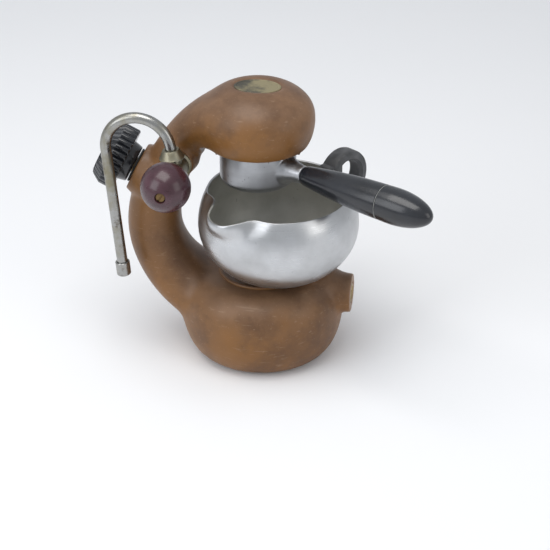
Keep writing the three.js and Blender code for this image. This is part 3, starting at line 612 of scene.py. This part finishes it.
recess_long, recess_wide = 19.4, 13.5      # half axes of the oval recess on top
badge_hole = turned("badge hole", [(0, 0), (recess_long, 0), (recess_long, 9), (0, 9)])
badge_hole.scale.y = recess_wide / recess_long
badge_hole.location = (group_x * mm, 0, (head_top - 1.9) * mm)
clear_selection()
badge_hole.select_set(True)
bpy.ops.object.transform_apply(location=True, rotation=True, scale=True)
carve(casting,
      block((120, 140, 70), (15.5, 0, head_floor - 35)),
      badge_hole,
      drill(17.5, 0, 6, front_at, (1, 0, 0)),
      drill(8.3, -14.3, 1, front_at, (1, 0, 0)),
      drill(22, 0, 6, filler_at, filler_along),
      drill(10.3, -22, 1, filler_at, filler_along),
      drill(14, 0, 6, valve_at, (0, -1, 0)),
      drill(6, -12, 1, valve_at, (0, -1, 0)),
      drill(29.6, head_floor - 1, head_floor + 3, (group_x, 0, 0), (0, 0, 1)),
      drill(41, -1, 3.8, (0, 0, 0), (0, 0, 1)))
print("faced casting:", len(casting.data.polygons), "faces")

# %% Claws and the jug's disc
bayonet_angles = (10, 190)
bayonet_sweep = 34

claws = [place(part_turn("claw", [
    (29.6, 172.4), (33.5, 172.4), (33.5, 182), (31.4, 182), (31.4, 174.3), (29.6, 174.3),
    (29.6, 172.4)], 16, bayonet_sweep, facing), (group_x, 0, 0)) for facing in bayonet_angles]
casting = merge_objects(casting, *claws)
fuse(casting, 1.15, 3)
pedestal = turned("pedestal", [
    (0, 62), (34.4, 62), (34.4, 69.4), (33.9, 70), (32.2, 70), (31.8, 69.7), (0, 69.7)],
    sides=128)
carve(casting, pedestal, operation="UNION")
show(casting, "boiler", "painted_casting", paint.material, "boiler_body", angle=60)

# %% [markdown]
# ## Small turned parts on the casting
#
# The pressed disc under the boiler, the blank plate on top, the gasket and the safety valve
# are simple turned pieces. They still get a stepped profile and broken edges, because a
# plain disc looks like a coin dropped on the model.

# %% Underside disc, top plate and gasket
disc = turned("underside_disc", [
    (0, 0.8), (30, 0.8), (31, 0.1), (39.6, 0.1), (40.5, 0.6), (40.6, 3.4), (0, 3.4)])
show(disc, "boiler", "bare_aluminium", satin.material, "bottom_plate")

top_plate = turned("top_plate", [
    (0, 224.6), (18, 224.6), (18, 225.1), (17.3, 225.6), (16.4, 225.6), (15.9, 225.2),
    (0, 225.2)])
top_plate.scale.y = 12.5 / 18
top_plate.location.x = group_x * mm
bpy.ops.object.transform_apply(location=True, rotation=True, scale=True)
show(top_plate, "boiler", "badge_plate", plate.material, "top_badge")

gasket = place(turned("group_seal", [
    (24.5, 179.6), (29.3, 179.6), (29.3, 182.1), (24.5, 182.1), (24.5, 179.6)]),
    (group_x, 0, 0))
soften(gasket, 0.4)
show(gasket, "boiler", "black_rubber", rubber.material, "group_gasket")

# %% Safety valve
relief = place(turned("safety_valve", [
    (2.5, -13.9), (7.9, -13.9), (7.9, -0.6), (7.3, 0), (6.2, 0), (5.6, -0.6), (5.6, -11.4),
    (2.5, -11.4), (2.5, -13.9)]), front_at, (1, 0, 0))
show(relief, "boiler", "yellow_brass", brass.material, "relief_body")

adjuster = place(turned("safety_valve_screw", [
    (1.95, -4.2), (5.1, -4.2), (5.1, -1.0), (4.8, -0.6), (2.2, -0.6), (1.95, -0.9),
    (1.95, -4.2)]), front_at, (1, 0, 0))
carve(adjuster, block((2.4, 12, 1.2), (front_at[0] - 0.6, 0, front_at[2])))
show(adjuster, "boiler", "yellow_brass", brass.material, "relief_screw")

poppet = place(turned("safety_valve_poppet", [
    (0, -11.1), (4.6, -11.1), (4.9, -10.8), (4.9, -8.9), (4.5, -8.6), (1.4, -8.5),
    (1.4, -2.9), (1.1, -2.6), (0, -2.6)]), front_at, (1, 0, 0))
show(poppet, "relief_poppet", "spring_steel", steel.material, "relief_poppet")

# %% [markdown]
# The spring of the safety valve is a small circle of wire that a Screw modifier winds round
# the valve's axis, as a spring is coiled on a lathe. When steam lifts the poppet the spring
# gets shorter.

# %% Spring of the safety valve
coil_r, wire_r, coil_turns = 3.7, 0.33, 4
coil_from, coil_to, adjuster_face = -7.85, -4.85, -4.2

clear_selection()
bpy.ops.mesh.primitive_circle_add(vertices=12, radius=wire_r * mm,
                                  location=(coil_r * mm, 0, coil_from * mm),
                                  rotation=(math.radians(90), 0, 0))
spring = bpy.context.object
spring.name = "safety_valve_spring"
bpy.ops.object.transform_apply(location=True, rotation=True, scale=True)
apply_modifier(spring, "SCREW", screw_offset=(coil_to - coil_from) / coil_turns * mm,
               iterations=coil_turns, steps=32, render_steps=32)
edit(spring)
close_ends()
tidy_mesh()
place(spring, front_at, (1, 0, 0))
show(spring, "boiler", "spring_steel", steel.material, "relief_spring")
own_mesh(spring)

# %% [markdown]
# ## Filter holder
#
# The cup is a casting like the body: a straight-sided pot with a rounded lower edge, a short
# nozzle beneath, two bayonet ears at the rim and a stub that carries the handle. The stub
# meets the cup in a generous fillet, so pot, stub and ears are again melted together.

# %% Cup, stub and ears
cup_rim, cup_floor = 177.8, 148
handle_turn = math.radians(-28)
handle_along = (math.cos(handle_turn), math.sin(handle_turn), 0)
handle_at = (group_x, 0, 164.5)

cup = turned("filter_cup_cast", [
    (2.7, cup_floor - 2.6), (5.6, cup_floor - 2.6), (6.5, cup_floor - 1.6),
    (7.1, cup_floor), (14, cup_floor), *bow(23.5, cup_floor + 6, 6, 6, -90, 0, 8),
    (29.5, cup_rim - 10), (29.1, cup_rim - 2.6), (29.0, cup_rim), (26.4, cup_rim),
    (26.4, cup_floor + 6.5), (23.4, cup_floor + 4.2), (4, cup_floor + 3.7),
    (2.7, cup_floor + 3.4), (2.7, cup_floor - 2.6)], sides=128)
place(cup, (group_x, 0, 0))
stub = place(turned("stub", [
    (0, 26), (12.5, 26), (11.4, 29), (9.6, 32), (8.4, 35.5), (7.4, 39.5), (6.8, 44.2), (6.5, 44.5),
    (0, 44.5)]), handle_at, handle_along)
ears = [place(part_turn("ear", [
    (27.5, 175.3), (30.6, 175.3), (30.9, 175.6), (30.9, 177.7), (27.5, 177.7), (27.5, 175.3)],
    14, bayonet_sweep, facing), (group_x, 0, 0)) for facing in bayonet_angles]
cup = merge_objects(cup, stub, *ears)
fuse(cup, 0.55, 6)
carve(cup, drill(3.3, 32, 46, handle_at, handle_along))
show(cup, "filter_holder", "bare_aluminium", satin.material, "filter_cup", angle=60)

# %% [markdown]
# The grip is turned in two lengths: a long taper that swells away from the cup, and a
# bullet-shaped end. A fine pale line shows where they meet. It is a thin ring of its own
# between two tiny shoulders, because a painted line would have no edge to catch the light.

# %% Grip in two lengths
grip = turned("grip", [
    (3.4, 44.8), (6.1, 44.8), (6.9, 45.3), (7.8, 48), (8.9, 56), (9.9, 64), (11.2, 76),
    (12.2, 88), (12.9, 100), (13.35, 112), (13.4, 116.2), (13.05, 116.75), (3.4, 116.75),
    (3.4, 44.8)],
    sides=96)
apply_modifier(grip, "BEVEL", width=0.3 * mm, segments=2, limit_method="ANGLE",
               angle_limit=math.radians(40))
place(grip, handle_at, handle_along)
show(grip, "filter_holder", "black_bakelite", black.material, "handle_grip", angle=30)

seam = place(turned("grip_seam", [
    (3.4, 116.78), (13.2, 116.78), (13.3, 116.85), (13.3, 117.05), (13.2, 117.12),
    (3.4, 117.12), (3.4, 116.78)]), handle_at, handle_along)
show(seam, "filter_holder", "black_bakelite", pale_seam_line.material)

grip_end = place(turned("grip_end", [
    (3.4, 117.15), (13.05, 117.15), (13.45, 117.7), *bow(0, 126.3, 13.7, 32.8, 0, 90, 22),
    (0, 139.2), (3.4, 139.2), (3.4, 117.15)], sides=96), handle_at, handle_along)
show(grip_end, "filter_holder", "black_bakelite", black.material, "handle_grip_cap", angle=30)

# %% [markdown]
# ## Filler cap
#
# The cap is moulded with 28 rounded ribs so that a hand can turn it. One ring of points is
# drawn for each level of the cap, one point in eight is pulled in furthest to form the bottom
# of a groove, and its neighbours less. The rings are then bridged like a stack of cookie
# cutters, and the grooves grow shallow where the cap tapers towards its face.

# %% Ribbed cap
ribs, points_per_rib = 28, 8
cap_r, cap_from, cap_length = 25.5, 9.6, 19.5


def cap_outline(radius, depth, height):
    """A ring of points with rounded ribs between narrow grooves."""
    bpy.ops.mesh.primitive_circle_add(vertices=ribs * points_per_rib, radius=radius * mm,
                                      location=(0, 0, height * mm))
    ring = bpy.context.object
    bpy.ops.object.transform_apply(location=True, rotation=True, scale=True)
    for share, members in ((1.0, (0,)), (0.62, (1, 7)), (0.18, (2, 6)), (0.03, (3, 5))):
        edit(ring)
        bpy.ops.mesh.select_all(action="DESELECT")
        bpy.ops.object.mode_set(mode="OBJECT")
        for vertex in ring.data.vertices:
            vertex.select = vertex.index % points_per_rib in members
        bpy.ops.object.mode_set(mode="EDIT")
        shrink = 1 - share * depth / radius
        bpy.ops.transform.resize(value=(shrink, shrink, 1), center_override=(0, 0, height * mm))
        bpy.ops.object.mode_set(mode="OBJECT")
    return ring


rings = [cap_outline(radius, depth, cap_from + share * cap_length) for radius, depth, share in (
    (cap_r - 1.2, 1.2, 0.0), (cap_r - 0.3, 2.0, 0.03), (cap_r, 2.2, 0.07), (cap_r, 2.2, 0.58),
    (cap_r - 0.4, 2.2, 0.62), (cap_r - 2.4, 1.8, 0.78), (cap_r - 4.4, 1.3, 0.93),
    (cap_r - 5.4, 0.8, 0.98), (cap_r - 6.4, 0.2, 1.0), (cap_r - 8, 0.02, 0.985))]
cap = merge_objects(*rings)
cap.name = "ribbed_cap"
edit(cap, "EDGE")
bpy.ops.mesh.bridge_edge_loops()
close_ends()
tidy_mesh()
print("cap faces:", len(cap.data.polygons))

# %% Collar under the ribs
collar = turned("cap_collar", [
    (6.4, 2.7), (14.2, 2.7), (14.8, 3.2), (15.6, 6.5), (16.2, 9.4), (16.2, 10.6), (6.4, 10.6),
    (6.4, 2.7)])
carve(cap, collar, operation="UNION")
place(cap, filler_at, filler_along)
show(cap, "filler_cap", "black_bakelite", black.material, "filler_cap", angle=40)

seal = place(turned("filler_ring", [
    (10.2, 0.4), (14.0, 0.4), (14.0, 2.0), (10.2, 2.0), (10.2, 0.4)]), filler_at, filler_along)
soften(seal, 0.5)
show(seal, "filler_seal", "black_rubber", rubber.material, "filler_seal")

# %% [markdown]
# ## Steam valve
#
# A plated body screws into the near side of the neck and points at the viewer. It holds a
# packing nut, the spindle with its ball knob, and on top the cone-shaped collar from which
# the steam pipe rises.

# %% Valve body, nut and collar
outlet_tilt = math.radians(6)
outlet_along = (-math.sin(outlet_tilt), 0, math.cos(outlet_tilt))
outlet_at = (valve_at[0], valve_at[1] - 12.7, valve_at[2])

body = place(turned("valve_body_turned", [
    (1.9, -11.9), (5.6, -11.9), (5.6, 0.4), (10.8, 0.4), (11, 0.7), (11, 2.0), (10.5, 2.5),
    (9.5, 3.0), (9.3, 9.0), (9.5, 9.3), (9.5, 20.8), (8.6, 21.9), (5.1, 21.9), (5.1, 17.3),
    (3.7, 17.3), (3.7, 8), (1.9, 6.2), (1.9, -11.9)]), valve_at, (0, -1, 0))
spigot = place(turned("spigot", [
    (2.3, 6), (6.3, 6), (6.3, 12.4), (2.3, 12.4), (2.3, 6)]), outlet_at, (0, 0, 1))
carve(body, spigot, operation="UNION")
show(body, "boiler", "plated_brass", olive.material, "steam_valve_body")

clear_selection()
bpy.ops.mesh.primitive_cylinder_add(vertices=6, radius=7.5 * mm, depth=4.1 * mm,
                                    location=(0, 0, 24.35 * mm))
nut = bpy.context.object
nut.name = "gland_nut"
bpy.ops.object.transform_apply(location=True, rotation=True, scale=True)
soften(nut, 0.5)
carve(nut, drill(4.7, 15.1, 23.5, (0, 0, 0), (0, 0, 1)), operation="UNION")
carve(nut, drill(2.6, 10, 30, (0, 0, 0), (0, 0, 1)))
place(nut, valve_at, (0, -1, 0), outlet_along)
show(nut, "boiler", "plated_brass", nickel.material, "packing_nut")

outlet_collar = place(turned("outlet_cone", [
    (6.7, 10.6), (9.1, 10.6), (9.6, 11.1), (9.6, 12.0), (9.1, 12.6), (7.4, 16.2), (6.7, 17.6),
    (6.1, 18.4), (4.5, 18.4), (4.5, 15.7), (6.7, 15.1), (6.7, 10.6)]), outlet_at, outlet_along)
show(outlet_collar, "boiler", "plated_brass", olive.material, "outlet_collar")

# %% [markdown]
# The knob is a ball with a flat back and a countersunk brass screw in its face. A ball is
# easiest to spin too, since the hole for the screw is then part of the same profile.

# %% Ball knob and its screw
knob_r, knob_at = 18.9, 40
screw_r = 3.7
opening = math.degrees(math.acos((screw_r + 0.5) / knob_r))
seat = knob_at + math.sqrt(knob_r ** 2 - 4.0 ** 2) - 3.2
knob = place(turned("ball_knob", [
    (2.6, 28.5), (7.4, 28.5), (8.2, 27.95), (9.4, 27.95), (14.2, 27.6),
    *bow(0, knob_at, knob_r, knob_r, -40, opening, 30),
    (screw_r + 0.3, seat + 2.6), (screw_r + 0.3, seat), (1.8, seat), (1.8, seat - 1.5),
    (2.6, seat - 1.5), (2.6, 28.5)], sides=96), valve_at, (0, -1, 0))
show(knob, "steam_knob", "maroon_bakelite", maroon.material, "steam_knob", angle=30)

screw = place(turned("knob_screw_turned", [
    (0, seat - 11.5), (1.45, seat - 11.5), (1.45, seat + 0.35), (screw_r, seat + 0.35),
    (screw_r, seat + 1.9), *bow(0, seat + 1.9, screw_r, 0.6, 0, 90, 6)[1:]], sides=48),
    valve_at, (0, -1, 0), outlet_along)
slot_tool = place(block((10, 1.3, 4), (0, 0, seat + 3.0), turn=-40), valve_at, (0, -1, 0),
                  outlet_along)
carve(screw, slot_tool)
show(screw, "steam_knob", "yellow_brass", dark_brass.material, "knob_screw")

# %% [markdown]
# ## Steam pipe
#
# The pipe is bent from straight tube, and that is how it is modelled: a ring of tube is
# extruded up out of the collar, `spin` carries it round the bend, and it is extruded again
# down the leg. A spun ring stays square to the path, which a tube drawn by eye would not.

# %% Pipe: up, over and down
pipe_r, bore_r = 4.2, 3.2
pipe_start, pipe_rise, bend_r = 12.9, 19.5, 25.3
leg_turn = math.radians(180 - 6 + 4.8)
leg_length = 105.5


def pipe_skin(radius, start, end_extra):
    """The pipe's line followed by one ring, in the frame of the outlet."""
    clear_selection()
    bpy.ops.mesh.primitive_circle_add(vertices=32, radius=radius * mm,
                                      location=(0, 0, start * mm))
    skin = bpy.context.object
    bpy.ops.object.transform_apply(location=True, rotation=True, scale=True)
    edit(skin, "EDGE")
    bpy.ops.mesh.extrude_region_move(
        TRANSFORM_OT_translate={"value": (0, 0, (pipe_rise - start) * mm)})
    bpy.ops.mesh.spin(steps=40, angle=leg_turn, center=(-bend_r * mm, 0, pipe_rise * mm),
                      axis=(0, 1, 0))
    down = Vector((-math.sin(leg_turn), 0, math.cos(leg_turn)))
    bpy.ops.mesh.extrude_region_move(
        TRANSFORM_OT_translate={"value": down * (leg_length + end_extra) * mm})
    return skin


pipe = pipe_skin(pipe_r, pipe_start + 0.4, 0)
pipe.name = "steam_pipe_bent"
close_ends()
tidy_mesh()
bore = pipe_skin(bore_r, pipe_start - 1, 1)
close_ends()
tidy_mesh()
carve(pipe, turned("ferrule", [
    (3.0, 13.1), (6.1, 13.1), (6.1, 14.5), (3.0, 14.5), (3.0, 13.1)], sides=64),
    operation="UNION")
carve(pipe, bore)
place(pipe, outlet_at, outlet_along)
show(pipe, "steam_wand", "plated_brass", nickel.material, "steam_pipe", angle=40)

# %% Nozzle
leg_down = Vector((-math.sin(leg_turn), 0, math.cos(leg_turn)))
bend_end = Vector((bend_r * (math.cos(leg_turn) - 1), 0, pipe_rise + bend_r * math.sin(leg_turn)))
turn_up = Matrix((Vector((0, 1, 0)).cross(Vector(outlet_along)), Vector((0, 1, 0)),
                  Vector(outlet_along))).transposed()
tip_at = Vector(outlet_at) + turn_up @ (bend_end + leg_length * leg_down)
tip_along = turn_up @ leg_down
nozzle = place(turned("nozzle_tip", [
    (4.5, -8.6), (5.2, -8.6), (5.65, -8.1), (5.7, 1.6), (5.5, 2.3), (4.8, 3.0), (1.3, 3.0),
    (1.3, 0.4), (4.5, 0.4), (4.5, -8.6)], sides=64), tip_at, tip_along)
show(nozzle, "steam_wand", "plated_brass", nickel.material, "steam_nozzle")

# %% [markdown]
# ## Jug
#
# The jug is spun from sheet: a round belly on a small foot, open at the top. Only its outer
# skin is spun here. The pouring lip is pulled out of the rim with proportional editing, as
# a metalworker raises it with a mallet, and a Solidify modifier then gives the sheet its
# thickness, so the lip keeps an even wall.

# %% Belly of the jug
jug_at = (14, -5, 70.3)
jug_r, belly, below, above, rim = 62.8, 44, 48, 61, 72


def jug_radius(height):
    """The jug's outer radius at a height over its foot."""
    half = below if height < belly else above
    return jug_r * math.sqrt(1 - ((height - belly) / half) ** 2)


low = [belly * (1 - math.cos(math.radians(90 * i / 16))) for i in range(17)]
high = [belly + (rim - belly) * i / 10 for i in range(1, 11)]
jug = turned("jug_bowl_spun", [(0, 0.9), (18, 0.9), (22, 0), *[
    (jug_radius(z), z) for z in low + high]], sides=144)
print("jug skin:", len(jug.data.polygons), "faces")

# %% Pouring lip
lip_turn = math.radians(-124)
edit(jug)
bpy.ops.mesh.select_all(action="DESELECT")
bpy.ops.object.mode_set(mode="OBJECT")
lip_out = Vector((math.cos(lip_turn), math.sin(lip_turn), 0))


def pull(angle_offset, half_angle, move, size):
    """Takes hold of the rim round one direction and moves it, dragging what is near."""
    clear_selection()
    bpy.context.view_layer.objects.active = jug
    jug.select_set(True)
    centre = lip_turn + math.radians(angle_offset)
    for vertex in jug.data.vertices:
        angle = math.atan2(vertex.co.y, vertex.co.x) - centre
        angle = (angle + math.pi) % (2 * math.pi) - math.pi
        vertex.select = vertex.co.z > (rim - 0.5) * mm and abs(angle) < math.radians(half_angle)
    bpy.ops.object.mode_set(mode="EDIT")
    bpy.ops.transform.translate(value=move, use_proportional_edit=True,
                                proportional_edit_falloff="SMOOTH", proportional_size=size * mm)
    bpy.ops.object.mode_set(mode="OBJECT")


pull(0, 4, (lip_out * 16 - Vector((0, 0, 4.5))) * mm, 23)
for side in (-27, 27):
    inward = -Vector((math.cos(lip_turn + math.radians(side)),
                      math.sin(lip_turn + math.radians(side)), 0))
    pull(side, 2, inward * 2.4 * mm, 15)
apply_modifier(jug, "SOLIDIFY", thickness=1.6 * mm, offset=-1)
soften(jug, 0.35, segments=2, angle=50)
place(jug, jug_at)
show(jug, "jug", "polished_aluminium", polished.material, "jug_bowl", angle=50)

jug.data.materials.append(oxide.material)
jug_middle = Vector(jug_at) * mm
for face in jug.data.polygons:
    outwards = face.center - jug_middle
    outwards.z = 0
    inside_wall = face.normal.dot(outwards) < 0 and face.center.z < jug_middle.z + (rim - 1.2) * mm
    inside_floor = face.normal.z > 0.5 and face.center.z < jug_middle.z + 10 * mm
    if inside_wall and face.normal.z > -0.75 and abs(face.normal.z) < 0.98 or inside_floor:
        face.material_index = 1
print("dulled faces inside the jug:", sum(f.material_index for f in jug.data.polygons))

# %% [markdown]
# The handle is a moulded ring that stands upright on the jug's shoulder, wide enough for one
# finger. It is turned like a tyre, given a foot that is shaped to the jug's belly, and
# carries two rivets.

# %% Ring handle and rivets
jug_handle_turn = math.radians(55)
rivet_offsets = (-9, 8)        # from the ring's middle, down and up
outward = (math.cos(jug_handle_turn), math.sin(jug_handle_turn), 0)
ring_r, ring_thick, ring_wide, ring_centre, ring_rise = 22.5, 8, 14.5, 73, 58.7
half = ring_wide / 2
inner_r = ring_r - ring_thick

ring = turned("jug_ring_handle", [
    (inner_r, 2.2 - half), (inner_r + 2, -half), (ring_r - 2.6, -half),
    (ring_r - 0.6, 1.2 - half), (ring_r, 3 - half), (ring_r, half - 3),
    (ring_r - 0.6, half - 1.2), (ring_r - 2.6, half), (inner_r + 2, half), (inner_r, half - 2.2),
    (inner_r + 0.4, 0), (inner_r, 2.2 - half)], sides=96)
side_on = (-outward[1], outward[0], 0)
ring_at = Vector(jug_at) + Vector(outward) * ring_centre + Vector((0, 0, ring_rise))
place(ring, ring_at, side_on, outward)
foot = block((16, ring_wide - 2, 30), (jug_radius(ring_rise) - 2, 0, ring_rise))
foot.name = "ring foot"
soften(foot, 2, segments=3)
place(foot, jug_at, (0, 0, 1), outward)
carve(ring, foot, operation="UNION")
belly_tool = place(turned("belly tool", [
    (0, 0), *[(jug_radius(rim * i / 24) + 0.35, rim * i / 24) for i in range(25)], (0, rim)]),
    jug_at)
above_rim = block((98, 60, 60), (0, 0, rim + 28))
place(above_rim, jug_at, (0, 0, 1), outward)
carve(ring, belly_tool, above_rim)
show(ring, "jug", "black_bakelite", matte_black.material, "jug_handle", angle=40)

for index, offset in enumerate(rivet_offsets, start=1):
    height = ring_rise + offset
    slope = jug_radius(height + 0.5) - jug_radius(height - 0.5)
    along = Vector((outward[0], outward[1], -slope)).normalized()
    at = Vector(jug_at) + Vector(outward) * jug_radius(height) + Vector((0, 0, height))
    rivet = place(turned(f"rivet_{index}", [
        (0, -3.2), (1.4, -3.1), (2.6, -2.8), (3.4, -2.3), (3.55, -1.95), (1.75, -1.95),
        (1.75, 3.9), (0, 3.9)], sides=40), at, along)
    show(rivet, "jug", "bare_aluminium", satin.material, f"jug_rivet_{index}")

# %% [markdown]
# ## Parts that stay as the engineering model has them
#
# The screen, basket, riser, spindle, plug, rod and packing are hidden in use or have
# flat machined shapes that need nothing more than their metal. Their meshes are left alone,
# and only their material slots change.

# %% Materials for the remaining nodes
kept = {
    "water_riser": satin, "shower_screen": satin, "screen_screw": brass, "filter_basket": satin,
    "valve_packing": cord, "valve_spindle": steel, "filler_plug": brass, "handle_rod": steel}
for name, metal in kept.items():
    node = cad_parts[name]
    node.data.materials.clear()
    node.data.materials.append(metal.material)
print("kept nodes:", sorted(kept))

# %% Floor finish
pale = Finish("pale floor", (0.90, 0.905, 0.92), 0.6)
pale.color(pale.mix(pale.between(pale.noise(1.5), 0.3, 0.7),
                    (0.89, 0.895, 0.91), (0.91, 0.915, 0.93)))
floor.data.materials.append(pale.material)
print("floor painted")
